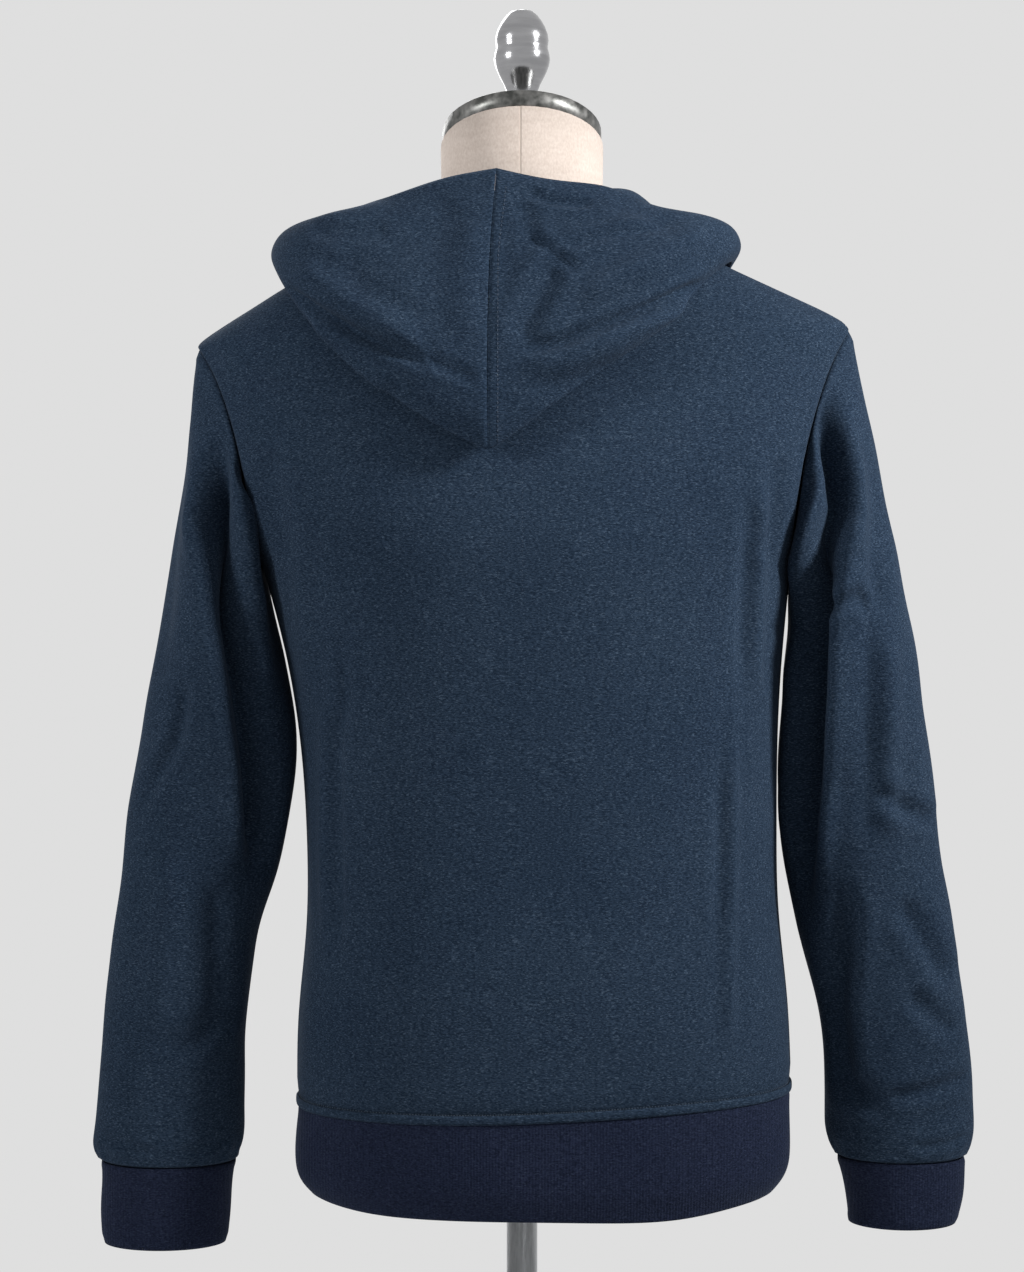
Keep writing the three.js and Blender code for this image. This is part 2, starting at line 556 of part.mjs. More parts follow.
const tabBody = box(TAB.width, TAB.thick, TAB.length, 0, tabY, tabTop + TAB.bar / 2 - TAB.length / 2)
  .subtract(box(3.2, 4, TAB.window, 0, tabY, tabTop - TAB.bar / 2 - TAB.window / 2));
function placed(body) {
  const mesh = body.getMesh();
  const position = [];
  const turn = new THREE.Matrix4().makeRotationX(-tilt);
  for (let k = 0; k < mesh.vertProperties.length; k += mesh.numProp) {
    const p = new THREE.Vector3(...mesh.vertProperties.slice(k, k + 3)).applyMatrix4(turn).add(seat.point);
    position.push(p.x, p.y, p.z);
  }
  return solid(position, Array.from(mesh.triVerts));
}
add('zip_slider', placed(sliderBody.add(bridge)), 0x6d7075);
add('pull_tab', placed(tabBody), 0x6d7075);

// Dress form: a smooth, whole, limbless torso and neck that the sweater rests on.
const FORM = table(['z', 'half', 'back', 'front', 'power'], [
  [232, 128, 86, 84, 2.2],
  [235, 142, 98, 95, 2.2],
  [246, 151, 105, 102, 2.2],
  [290, 157, 111, 107, 2.2],
  [350, 153, 108, 106, 2.2],
  [430, 147, 104, 106, 2.2],
  [500, 149, 106, 110, 2.2],
  [560, 157, 111, 116, 2.2],
  [620, 170, 116, 121, 2.2],
  [670, 178, 118, 121, 2.2],
  [715, 184, 115, 116, 2.2],
  [750, 189, 107, 107, 2.2],
  [780, 193, 97, 96.5, 2.2],
  [800, 192, 90, 89, 2.2],
  [816, 187, 83.5, 83, 2.2],
]);
const formLevels = [232, 235, 246, 290, 350, 430, 500, 560, 610, 655, 695, 730, 760, 785, 802, 816];
const formColumn = Object.fromEntries(
  ['half', 'back', 'front', 'power'].map(name => [name, curve(FORM, 'z', name)]));
const FORM_EASE = table(['z', 'side', 'depth'], [
  [835, 7.5, 3.4], [850, 6, 3.4], [866, 4, 3.4], [882, 5.2, 3.8], [899, 5.4, 4.4],
  [910, 3.2, 3], [925, 2.2, 2.2], [980, 2.2, 2.2]]);
const ease = { side: curve(FORM_EASE, 'z', 'side'), depth: curve(FORM_EASE, 'z', 'depth') };
const FORM_AROUND = 40;
const FORM_SHIFT = -3;
const formRings = formLevels.map(z => Array.from({ length: FORM_AROUND }, (_, j) => {
  const angle = 2 * Math.PI * j / FORM_AROUND;
  const c = Math.cos(angle);
  const s = Math.sin(angle);
  const power = 2 / formColumn.power(z);
  const depth = s >= 0 ? formColumn.back(z) : formColumn.front(z);
  const x = FORM_SHIFT * smooth(640, 480, z) + formColumn.half(z) * Math.sign(c) * Math.abs(c) ** power;
  return new THREE.Vector3(x, depth * Math.sign(s) * Math.abs(s) ** power, z);
}));
for (const z of [833, 845, 857, 869, 880, 890, 899, 906]) {
  formRings.push(Array.from({ length: FORM_AROUND }, (_, j) => {
    const angle = 2 * Math.PI * j / FORM_AROUND;
    const depth = ease.side(z) * Math.cos(angle) ** 2 + ease.depth(z) * Math.sin(angle) ** 2;
    const p = torsoPoint(angle, z).addScaledVector(torsoNormal(angle, z), -depth);
    p.z -= lean(p.x, z);
    return p;
  }));
}
formRings.push(Array.from({ length: FORM_AROUND }, (_, j) => {
  const angle = 2 * Math.PI * j / FORM_AROUND;
  const p = new THREE.Vector3(NECK.form * Math.cos(angle), NECK.form * Math.sin(angle), NECK.top);
  p.z += p.y * Math.tan(NECK.tilt);
  return p;
}));
function closedLoft(rings) {
  const around = rings[0].length;
  const position = [];
  for (const ring of rings) for (const p of ring) position.push(p.x, p.y, p.z);
  const index = [];
  for (let i = 0; i < rings.length - 1; i += 1) {
    for (let j = 0; j < around; j += 1) {
      const next = (j + 1) % around;
      const [a, b] = [i * around + j, i * around + next];
      index.push(a, b, b + around, a, b + around, a + around);
    }
  }
  for (const [ring, forward] of [[0, false], [rings.length - 1, true]]) {
    const middle = rings[ring].reduce((sum, p) => sum.add(p), new THREE.Vector3()).divideScalar(around);
    const hub = position.length / 3;
    position.push(middle.x, middle.y, middle.z);
    for (let j = 0; j < around; j += 1) {
      const [a, b] = [ring * around + j, ring * around + (j + 1) % around];
      if (forward) index.push(a, b, hub);
      else index.push(b, a, hub);
    }
  }
  return solid(position, index);
}
add('form_torso', closedLoft(formRings), 0xd0c3b6);

// Neck cap: a brushed steel disc that follows the slope of the neck's top.
const disc = (radius, height) => Array.from({ length: 48 }, (_, j) => {
  const angle = 2 * Math.PI * j / 48;
  const p = new THREE.Vector3(radius * Math.cos(angle), radius * Math.sin(angle), NECK.top + height);
  p.z += p.y * Math.tan(NECK.tilt);
  return p;
});
add('neck_cap', closedLoft([disc(NECK.cap - 0.8, 0.3), disc(NECK.cap, 1.1),
  disc(NECK.cap, NECK.capHeight - 1), disc(NECK.cap - 1.2, NECK.capHeight)]), 0x74787a);

// Finial: turned steel, standing upright on the cap.
const FINIAL = table(['z', 'radius'], [
  [0, 11], [18, 10.5], [28, 11], [33.5, 13], [38, 15.4], [42.5, 17.6], [47, 19.3], [51.5, 20.2],
  [56, 19.6], [59.5, 18.6], [61.5, 18.6], [65.5, 19.1], [70, 18.5], [74.5, 16.9], [79, 14.4],
  [83.5, 11], [86, 8], [87.2, 3]]);
const FINIAL_FOOT = NECK.top + NECK.capHeight + 0.3;
const finialRings = FINIAL.map(({ z, radius }, k) => Array.from({ length: 32 }, (_, j) => {
  const angle = 2 * Math.PI * j / 32;
  const p = new THREE.Vector3(radius * Math.cos(angle), radius * Math.sin(angle), FINIAL_FOOT + z);
  p.z += p.y * Math.tan(NECK.tilt) * (k === 0 ? 1 : smooth(9, 0, z));
  return p;
}));
add('finial', closedLoft(finialRings), 0x8c8c8e);

// Stand: a round steel plate with a hub, and a pole that carries the form on a flange.
const lathe = profile => closedLoft(profile.map(([radius, z]) => Array.from({ length: 48 }, (_, j) => {
  const angle = 2 * Math.PI * j / 48;
  return new THREE.Vector3(radius * Math.cos(angle), radius * Math.sin(angle), z);
})));
add('pole', lathe([[STAND.pole, STAND.hub + SEAM], [STAND.pole, STAND.formFoot - 14],
  [STAND.flange, STAND.formFoot - 6], [STAND.flange, STAND.formFoot - SEAM]]), 0x9a9c9e);
add('base_plate', lathe([[STAND.plate - 1, 0], [STAND.plate, 1], [STAND.plate, STAND.plateHeight - 3],
  [STAND.plate - 3, STAND.plateHeight], [26, STAND.plateHeight + 1], [24, STAND.hub - 2],
  [22, STAND.hub]]), 0x74787a);

export default part;
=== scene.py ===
import json
import math
import bmesh
import bpy
import numpy as np
from mathutils import Matrix, Vector, noise
from mathutils.bvhtree import BVHTree

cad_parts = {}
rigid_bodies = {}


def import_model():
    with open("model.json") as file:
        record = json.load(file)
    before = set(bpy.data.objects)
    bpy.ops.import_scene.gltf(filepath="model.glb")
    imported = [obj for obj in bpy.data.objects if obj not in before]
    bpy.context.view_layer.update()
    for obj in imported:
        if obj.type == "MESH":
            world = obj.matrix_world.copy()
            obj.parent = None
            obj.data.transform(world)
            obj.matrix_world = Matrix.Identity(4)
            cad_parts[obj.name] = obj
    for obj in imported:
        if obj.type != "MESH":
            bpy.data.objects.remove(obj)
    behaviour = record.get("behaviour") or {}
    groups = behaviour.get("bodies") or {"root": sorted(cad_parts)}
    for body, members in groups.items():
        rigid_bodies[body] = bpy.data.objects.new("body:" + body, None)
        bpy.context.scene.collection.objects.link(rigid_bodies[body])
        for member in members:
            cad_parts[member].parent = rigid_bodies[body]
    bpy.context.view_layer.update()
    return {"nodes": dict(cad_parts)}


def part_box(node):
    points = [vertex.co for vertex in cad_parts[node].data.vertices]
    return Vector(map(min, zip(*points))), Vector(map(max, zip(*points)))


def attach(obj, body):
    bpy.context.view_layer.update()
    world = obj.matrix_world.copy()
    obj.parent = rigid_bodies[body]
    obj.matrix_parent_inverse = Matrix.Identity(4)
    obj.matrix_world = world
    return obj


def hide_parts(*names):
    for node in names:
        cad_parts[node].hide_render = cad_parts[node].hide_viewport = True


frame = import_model()
nodes = frame["nodes"]

# Camera: level, straight behind the form, at the height of the waist.
camera = bpy.data.objects.new("camera", bpy.data.cameras.new("camera"))
bpy.context.scene.collection.objects.link(camera)
camera.location = (0.0072, 2.16, 0.59)
camera.rotation_euler = (math.pi / 2, 0, math.pi)
camera.data.lens = 85
camera.data.sensor_fit = "VERTICAL"
camera.data.sensor_height = 36
bpy.context.scene.camera = camera
bpy.context.scene.view_settings.view_transform = "Standard"

# Back panel: fine heathered knit, one piece from side seam to side seam.
# Made from the outer face of its solid, made finer, with the storage creases pressed in.
MM = 0.001
SAME_PLACE = 2e-5
WALL_EDGE = (1.7 * MM, 2.6 * MM)
ANY_ANGLE = 3.1


def add_object(bm, name):
    """Puts a finished mesh into the scene at the origin."""
    mesh = bpy.data.meshes.new(name)
    bm.to_mesh(mesh)
    bm.free()
    piece = bpy.data.objects.new(name, mesh)
    bpy.context.scene.collection.objects.link(piece)
    return piece


def shade_smooth(mesh):
    for polygon in mesh.polygons:
        polygon.use_smooth = True


def outer_sheet(node, name, levels):
    """The outer face of a cloth solid as a smooth quad sheet."""
    bm = bmesh.new()
    bm.from_mesh(nodes[node].data)
    bmesh.ops.remove_doubles(bm, verts=bm.verts, dist=SAME_PLACE)
    through = {e for e in bm.edges if WALL_EDGE[0] < e.calc_length() < WALL_EDGE[1]}
    rim = [f for f in bm.faces if any(e in through for e in f.edges)]
    bmesh.ops.delete(bm, geom=rim, context="FACES_ONLY")
    bm.faces.ensure_lookup_table()
    islands = []
    seen = set()
    for face in bm.faces:
        if face in seen:
            continue
        island = [face]
        seen.add(face)
        for item in island:
            for edge in item.edges:
                for other in edge.link_faces:
                    if other not in seen:
                        seen.add(other)
                        island.append(other)
        islands.append(island)
    islands.sort(key=lambda island: sum(f.calc_area() for f in island), reverse=True)
    inside = [f for island in islands[1:] for f in island]
    bmesh.ops.delete(bm, geom=inside, context="FACES")
    loose = [e for e in bm.edges if not e.link_faces]
    bmesh.ops.delete(bm, geom=loose, context="EDGES")
    spare = [v for v in bm.verts if not v.link_faces]
    bmesh.ops.delete(bm, geom=spare, context="VERTS")
    bmesh.ops.join_triangles(bm, faces=bm.faces, angle_face_threshold=ANY_ANGLE,
                             angle_shape_threshold=ANY_ANGLE)
    piece = add_object(bm, name)
    smoother = piece.modifiers.new("finer", "SUBSURF")
    smoother.levels = smoother.render_levels = levels
    smoother.boundary_smooth = "PRESERVE_CORNERS"
    graph = bpy.context.evaluated_depsgraph_get()
    fine = bpy.data.meshes.new_from_object(piece.evaluated_get(graph))
    piece.modifiers.clear()
    piece.data = fine
    fine.name = name
    return piece


def read_points(mesh):
    points = np.empty(len(mesh.vertices) * 3)
    mesh.vertices.foreach_get("co", points)
    normals = np.empty(len(mesh.vertices) * 3)
    mesh.vertex_normals.foreach_get("vector", normals)
    return points.reshape(-1, 3), normals.reshape(-1, 3)


def smooth(low, high, value):
    t = np.clip((value - low) / (high - low), 0, 1)
    return t * t * (3 - 2 * t)


def route_distance(points, route):
    """Signed distance in x and z to a route, and how far along it each point lies, from 0 to 1."""
    best = np.full(len(points), 1e9)
    side = np.zeros(len(points))
    along = np.zeros(len(points))
    lengths = [math.dist(a, b) for a, b in zip(route, route[1:])]
    total = sum(lengths)
    start = 0
    for (ax, az), (bx, bz), length in zip(route, route[1:], lengths):
        dx, dz = (bx - ax) / length, (bz - az) / length
        px, pz = points[:, 0] - ax, points[:, 2] - az
        t = np.clip((px * dx + pz * dz) / length, 0, 1)
        ox, oz = px - t * length * dx, pz - t * length * dz
        d = np.hypot(ox, oz)
        closer = d < best
        best = np.where(closer, d, best)
        side = np.where(closer, np.sign(px * dz - pz * dx), side)
        along = np.where(closer, (start + t * length) / total, along)
        start += length
    return best * side, along


END_FADE = 0.18
RIM_HEIGHT, RIM_PLACE, RIM_SPREAD = 0.32, 1.9, 0.8


def crease(points, normals, route, width, depth, facing=1):
    """Presses a trough (or, with a negative depth, raises a ridge) along a route in millimetres."""
    way = [(x * MM, z * MM) for x, z in route]
    d, along = route_distance(points, way)
    d = d / (width * MM)
    profile = np.exp(-(d ** 2)) - RIM_HEIGHT * np.exp(-((np.abs(d) - RIM_PLACE) ** 2) / RIM_SPREAD)
    ends = smooth(0, END_FADE, along) * smooth(0, END_FADE, 1 - along)
    ends = np.where((along <= 0) | (along >= 1), 0, ends)
    shown = smooth(0.05, 0.5, facing * normals[:, 1])
    return -depth * MM * profile * ends * shown


def undulate(points, scale, amount, seed):
    """Slow uneven swell of the cloth."""
    shift = Vector((seed * 7.3, seed * 3.1, seed * 5.7))
    return np.array([noise.noise(Vector(p) / (scale * MM) + shift) for p in points]) * amount * MM


def edge_hold(mesh, reach):
    """0 on the open edges of a sheet and 1 away from them, so that seams stay closed."""
    bm = bmesh.new()
    bm.from_mesh(mesh)
    steps = [-1] * len(bm.verts)
    front = [v for v in bm.verts if v.is_boundary]
    for v in front:
        steps[v.index] = 0
    count = 0
    while front and count < reach:
        count += 1
        following = []
        for v in front:
            for e in v.link_edges:
                other = e.other_vert(v)
                if steps[other.index] < 0:
                    steps[other.index] = count
                    following.append(other)
        front = following
    bm.free()
    held = np.array([reach if s < 0 else s for s in steps]) / reach
    return smooth(0, 1, held)


SEAM_RIDGE = 0.55


def seam_dip(mesh, depth):
    """The cloth sinks a little into its seams, with a soft ridge beside them."""
    near = edge_hold(mesh, 2)
    beside = edge_hold(mesh, 4)
    return (-(1 - near) + SEAM_RIDGE * near * (1 - beside)) * depth * MM


def finish_cloth(piece, points, thickness, material, node):
    """Sets the pressed shape, gives the sheet its thickness and lets it stand for its solid."""
    piece.data.vertices.foreach_set("co", points.ravel())
    piece.data.update()
    shade_smooth(piece.data)
    piece.data.materials.clear()
    piece.data.materials.append(material)
    shell = piece.modifiers.new("thickness", "SOLIDIFY")
    shell.thickness = thickness * MM
    shell.offset = -1
    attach(piece, "stand")
    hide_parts(node)


def mixed(tree, kind, factor, first, second):
    node = tree.nodes.new("ShaderNodeMix")
    node.data_type = "RGBA"
    node.blend_type = kind
    for name, value in (("Factor", factor), ("A", first), ("B", second)):
        socket = [s for s in node.inputs if s.name == name and s.type in ("RGBA", "VALUE")]
        socket = socket[0] if name == "Factor" else [s for s in socket if s.type == "RGBA"][0]
        if hasattr(value, "is_output"):
            tree.links.new(value, socket)
        else:
            socket.default_value = value
    return [s for s in node.outputs if s.type == "RGBA"][0]


def noise_node(tree, vector, scale, detail, stretch=(1, 1, 1)):
    mapping = tree.nodes.new("ShaderNodeMapping")
    mapping.inputs["Scale"].default_value = stretch
    tree.links.new(vector, mapping.inputs["Vector"])
    texture = tree.nodes.new("ShaderNodeTexNoise")
    texture.inputs["Scale"].default_value = scale
    texture.inputs["Detail"].default_value = detail
    tree.links.new(mapping.outputs["Vector"], texture.inputs["Vector"])
    return texture.outputs["Fac"]


def ramp(tree, value, low, high, low_color=(0, 0, 0, 1), high_color=(1, 1, 1, 1)):
    node = tree.nodes.new("ShaderNodeValToRGB")
    node.color_ramp.elements[0].position = low
    node.color_ramp.elements[1].position = high
    node.color_ramp.elements[0].color = low_color
    node.color_ramp.elements[1].color = high_color
    tree.links.new(value, node.inputs["Fac"])
    return node.outputs["Color"]


def heather_group():
    """Heathered yarn: two tones in short level dashes, pale flecks and slow dye patches."""
    group = bpy.data.node_groups.new("heathered yarn", "ShaderNodeTree")
    for name, kind, value in (("Dark", "NodeSocketColor", (0, 0, 0, 1)),
                              ("Light", "NodeSocketColor", (1, 1, 1, 1)),
                              ("Fleck", "NodeSocketColor", (1, 1, 1, 1)),
                              ("Fleck Amount", "NodeSocketFloat", 0.4)):
        group.interface.new_socket(name, in_out="INPUT", socket_type=kind).default_value = value
    group.interface.new_socket("Color", in_out="OUTPUT", socket_type="NodeSocketColor")
    group.interface.new_socket("Height", in_out="OUTPUT", socket_type="NodeSocketFloat")
    given = group.nodes.new("NodeGroupInput")
    result = group.nodes.new("NodeGroupOutput")
    place = group.nodes.new("ShaderNodeTexCoord").outputs["Object"]
    yarn = noise_node(group, place, 860, 2, (0.55, 0.55, 1.4))
    tone = ramp(group, yarn, 0.38, 0.62)
    color = mixed(group, "MIX", tone, given.outputs["Dark"], given.outputs["Light"])
    flecks = ramp(group, noise_node(group, place, 980, 1, (0.5, 0.5, 1.4)), 0.58, 0.7)
    amount = group.nodes.new("ShaderNodeMath")
    amount.operation = "MULTIPLY"
    group.links.new(flecks, amount.inputs[0])
    group.links.new(given.outputs["Fleck Amount"], amount.inputs[1])
    color = mixed(group, "MIX", amount.outputs[0], color, given.outputs["Fleck"])
    patch = ramp(group, noise_node(group, place, 14, 4), 0.3, 0.7, (0.88, 0.9, 0.92, 1), (1.1, 1.08, 1.06, 1))
    color = mixed(group, "MULTIPLY", 1.0, color, patch)
    group.links.new(color, result.inputs["Color"])
    group.links.new(yarn, result.inputs["Height"])
    return group


HEATHER = heather_group()


def knit_material(name, dark, light, fleck, fleck_amount, ribs=0.0):
    """Fine jersey with a low nap, or rib knit with its upright lines."""
    material = bpy.data.materials.new(name)
    material.use_nodes = True
    tree = material.node_tree
    shader = tree.nodes["Principled BSDF"]
    yarn = tree.nodes.new("ShaderNodeGroup")
    yarn.node_tree = HEATHER
    yarn.inputs["Dark"].default_value = (*dark, 1)
    yarn.inputs["Light"].default_value = (*light, 1)
    yarn.inputs["Fleck"].default_value = (*fleck, 1)
    yarn.inputs["Fleck Amount"].default_value = fleck_amount
    tree.links.new(yarn.outputs["Color"], shader.inputs["Base Color"])
    shader.inputs["Roughness"].default_value = 0.95
    shader.inputs["Sheen Weight"].default_value = 0.05
    shader.inputs["Sheen Roughness"].default_value = 0.5
    shader.inputs["Sheen Tint"].default_value = (0.4, 0.52, 0.72, 1)
    shader.inputs["Specular IOR Level"].default_value = 0.06
    bump = tree.nodes.new("ShaderNodeBump")
    bump.inputs["Strength"].default_value = 0.45
    bump.inputs["Distance"].default_value = 0.0007
    tree.links.new(yarn.outputs["Height"], bump.inputs["Height"])
    surface = bump
    if ribs:
        place = tree.nodes.new("ShaderNodeTexCoord").outputs["Object"]
        wave = tree.nodes.new("ShaderNodeTexWave")
        wave.wave_type = "BANDS"
        wave.bands_direction = "X"
        wave.inputs["Scale"].default_value = ribs
        wave.inputs["Distortion"].default_value = 0.5
        tree.links.new(place, wave.inputs["Vector"])
        surface = tree.nodes.new("ShaderNodeBump")
        surface.inputs["Strength"].default_value = 0.35
        surface.inputs["Distance"].default_value = 0.0005
        tree.links.new(wave.outputs["Fac"], surface.inputs["Height"])
        tree.links.new(bump.outputs["Normal"], surface.inputs["Normal"])
    tree.links.new(surface.outputs["Normal"], shader.inputs["Normal"])
    return material


KNIT = knit_material("knit", (0.0082, 0.0165, 0.031), (0.0215, 0.0372, 0.063), (0.07, 0.103, 0.15), 0.52)
RIB = knit_material("rib", (0.0066, 0.0098, 0.0225), (0.015, 0.0205, 0.044), (0.044, 0.057, 0.098), 0.35,
                    ribs=150)

FINER = 3
BODY_EASE = 0.6
back = outer_sheet("back_panel", "back", FINER)
points, normals = read_points(back.data)
hold = edge_hold(back.data, 6)
push = undulate(points, 95, 1.6, 1)
BACK_CREASES = [
    # route (x, z), width, depth
    ([(124, 600), (124, 569), (122, 546), (128.5, 523), (129, 478), (129, 419), (128, 350)], 4.5, 3.5),
    ([(136, 560), (137, 520), (137, 440), (135, 380)], 6, -2.2),
    ([(152, 660), (153, 645), (152, 587), (150, 540)], 6, -2.2),
    ([(-168, 700), (-166.6, 680), (-163, 640), (-162, 590), (-161, 540)], 5, -3.5),
    ([(-156, 690), (-155, 650), (-153, 600), (-153, 560)], 6, 2.4),
    ([(-146, 550), (-147.5, 530), (-144, 505), (-144, 460), (-143, 400), (-142, 295)], 4.5, -3.2),
    ([(-137, 500), (-137, 450), (-136, 380)], 5, 1.9),
    ([(-152, 530), (-148, 519), (-140, 512)], 4, 2.4),
    ([(176, 722), (174, 700), (170, 668), (163, 640)], 8, 3.5),
    ([(-178, 716), (-174, 690), (-170, 664), (-164, 640)], 7, 3),
]
for route, width, depth in BACK_CREASES:
    push += crease(points, normals, route, width, depth)
points += normals * (push * hold + seam_dip(back.data, 1.5))[:, None] + normals * BODY_EASE * MM
finish_cloth(back, points, 2.0, KNIT, "back_panel")

# Fronts: two pieces of the same knit, plain, each from its side seam to the zip.
for node, name, seed in (("front_left", "left_front", 2), ("front_right", "right_front", 3)):
    front = outer_sheet(node, name, FINER)
    points, normals = read_points(front.data)
    hold = edge_hold(front.data, 6)
    push = undulate(points, 90, 1.7, seed)
    side = 1 if node == "front_left" else -1
    for route, width, depth in (
            ([(side * 128, 640), (side * 121, 560), (side * 126, 470), (side * 120, 360)], 6, 1.8),
            ([(side * 60, 760), (side * 96, 700), (side * 130, 655)], 11, 1.9),
            ([(side * 40, 330), (side * 90, 305), (side * 140, 300)], 10, 1.4)):
        push += crease(points, normals, route, width, depth, facing=-1)
    points += normals * (push * hold + seam_dip(front.data, 0.8))[:, None] + normals * BODY_EASE * MM
    finish_cloth(front, points, 2.0, KNIT, node)

# Hem band: fine rib, one strip round the bottom, open at the zip.
band = outer_sheet("hem_band", "hem_rib", FINER)
points, normals = read_points(band.data)
hold = edge_hold(band.data, 4)
push = undulate(points, 60, 1.2, 4)
points += normals * (push * hold + seam_dip(band.data, 0.5))[:, None]
finish_cloth(band, points, 2.2, RIB, "hem_band")

# Sleeves: each one piece with its seam under the arm, hanging empty, with its long folds.
LEFT_SLEEVE = [
    ([(214, 742), (216, 712), (213.5, 676), (207, 637), (204, 598), (198, 558), (190, 500), (186, 440),
      (192, 405)], 8.2, 20),
    ([(196, 620), (190, 580), (181, 530), (178, 470), (181, 430)], 9, 9.6),
    ([(200, 722), (198.5, 700), (197, 658), (193.5, 622), (186, 580), (178, 540)], 6, -6.4),
    ([(226, 700), (228, 640), (228, 590), (222, 540), (214, 480)], 13, -5.1),
    ([(252, 690), (256, 640), (262, 590), (266, 540)], 12, 2.9),
    ([(236, 560), (239, 536), (245, 515), (261, 486), (270, 468)], 5, 4.2),
    ([(216, 420), (219, 380), (216.4, 325), (232, 305), (251.6, 293.5)], 9, 5.4),
    ([(246, 440), (250, 390), (252, 340), (256, 300)], 12, -3.2),
    ([(302, 232), (290, 231.5), (279.7, 229.4), (270, 226.2), (256, 225.5)], 3.4, 1.7),
    ([(205, 236), (215, 231), (230, 227), (246, 225.5)], 3.4, 1.3),
]
RIGHT_SLEEVE = [
    ([(-214.5, 775), (-213, 755), (-216, 733), (-221, 702), (-222, 681), (-214.5, 657), (-209, 628),
      (-206.5, 599), (-205.5, 552), (-202, 489), (-198, 426), (-199, 380)], 7.5, 19),
    ([(-204, 700), (-202, 680), (-199, 650), (-194, 610), (-189, 570), (-187, 540)], 5.5, -6.1),
    ([(-231, 690), (-230, 650), (-226, 600), (-224, 540), (-222, 480)], 11, -5.8),
    ([(-224, 420), (-228.7, 394), (-222.4, 331), (-228.7, 274), (-264, 249)], 8, 7.5),
    ([(-208, 612), (-219.6, 611), (-233.7, 617), (-245, 607)], 5, 5.1),
    ([(-214, 626), (-226, 636), (-236, 650)], 5, 3.4),
    ([(-252, 720), (-254, 680), (-250, 640), (-254, 600)], 8, 3.4),
    ([(-257, 600), (-257, 568), (-257, 464), (-259, 440)], 8, -4.8),
    ([(-245, 478), (-254, 476.6), (-288.6, 460), (-298, 455)], 6, 5.4),
    ([(-262, 402), (-273, 394), (-298.5, 353), (-308, 342)], 8, 5.1),
    ([(-270, 336), (-279.5, 331), (-298.5, 315), (-310, 306)], 7, 4.4),
    ([(-255, 262), (-267, 265), (-314, 274), (-322, 276)], 5, 4.4),
    ([(-322, 234), (-306, 231), (-290, 229), (-272, 229)], 3.4, 1.6),
]
GATHERS = 13
for node, name, routes, seed in (("sleeve_left", "left_sleeve", LEFT_SLEEVE, 5),
                                 ("sleeve_right", "right_sleeve", RIGHT_SLEEVE, 6)):
    sleeve = outer_sheet(node, name, FINER)
    points, normals = read_points(sleeve.data)
    hold = edge_hold(sleeve.data, 5)
    push = undulate(points, 55, 2.4, seed)
    for route, width, depth in routes:
        push += crease(points, normals, route, width, depth)
        push += crease(points, normals, route, width * 1.2, depth * 0.5, facing=-1)
    foot = points[:, 2].min()
    turn = np.arctan2(normals[:, 1], normals[:, 0])
    gather = smooth(26 * MM, 4 * MM, points[:, 2] - foot) * 0.7 * MM
    push += gather * np.sin(GATHERS * turn + 1.7 * np.sin(3 * turn + seed))
    points += normals * (push * hold + seam_dip(sleeve.data, 1.5))[:, None]
    finish_cloth(sleeve, points, 2.0, KNIT, node)

# Cuffs: fine rib tubes, a little narrower than the sleeve that gathers onto them.
for node, name, seed, cut in (("cuff_left", "left_cuff", 7, (0.275, 0.06)),
                              ("cuff_right", "right_cuff", 8, (0.265, 0.049))):
    cuff = outer_sheet(node, name, FINER)
    points, normals = read_points(cuff.data)
    hold = edge_hold(cuff.data, 3)
    points += normals * (undulate(points, 40, 1.3, seed) * hold + seam_dip(cuff.data, 0.6))[:, None]
    finish_cloth(cuff, points, 2.2, RIB, node)

# Hood: two pieces joined by a centre seam, thrown back in a deep pouch with long folds.
LEFT_HOOD = [
    ([(172, 834), (160, 825), (151, 818), (117, 798), (96, 788), (75, 779), (60, 771)], 4, 6.6),
    ([(160, 850), (151, 842), (130, 824), (112, 812), (92, 801), (66, 786)], 8, -5.4),
    ([(150, 806), (128, 786), (104, 768), (84, 756)], 9, -3.8),
    ([(30, 763), (40, 766), (54, 772), (66, 780)], 4, 2.8),
    ([(40, 890), (70, 868), (100, 850), (130, 838)], 18, 3.5),
    ([(34, 880), (36, 850), (38, 815), (40, 790)], 12, -2.9),
    ([(150, 870), (120, 868), (90, 872)], 8, 2.9),
]
RIGHT_HOOD = [
    ([(12, 780), (0, 783), (-28.7, 789), (-56.5, 801), (-74.8, 808), (-99.9, 820), (-119, 830),
      (-138, 838)], 3.8, 6.2),
    ([(6, 768), (-30, 776), (-64, 790), (-98, 808), (-128, 826)], 8, -4.8),
    ([(-22, 855), (-30, 856.5), (-58.5, 864), (-77.6, 868), (-96, 870)], 3.4, 3.2),
    ([(-4, 866), (-11, 859), (-30, 845), (-40, 837)], 3.4, 3.4),
    ([(-2, 900), (-8, 894.6), (-16.6, 890.5), (-31.8, 889), (-50, 888)], 3.4, 4.2),
    ([(2, 786), (-1, 801), (-9, 818), (-18, 834), (-26, 850)], 8, 5.2),
    ([(2, 902), (-1, 889), (-4, 866), (-4, 846)], 6, 2.2),
    ([(-132, 872), (-119, 866), (-91, 848), (-60, 830), (-34, 816)], 9, -4.8),
    ([(-60, 890), (-84, 884), (-108, 874)], 8, 2.9),
]
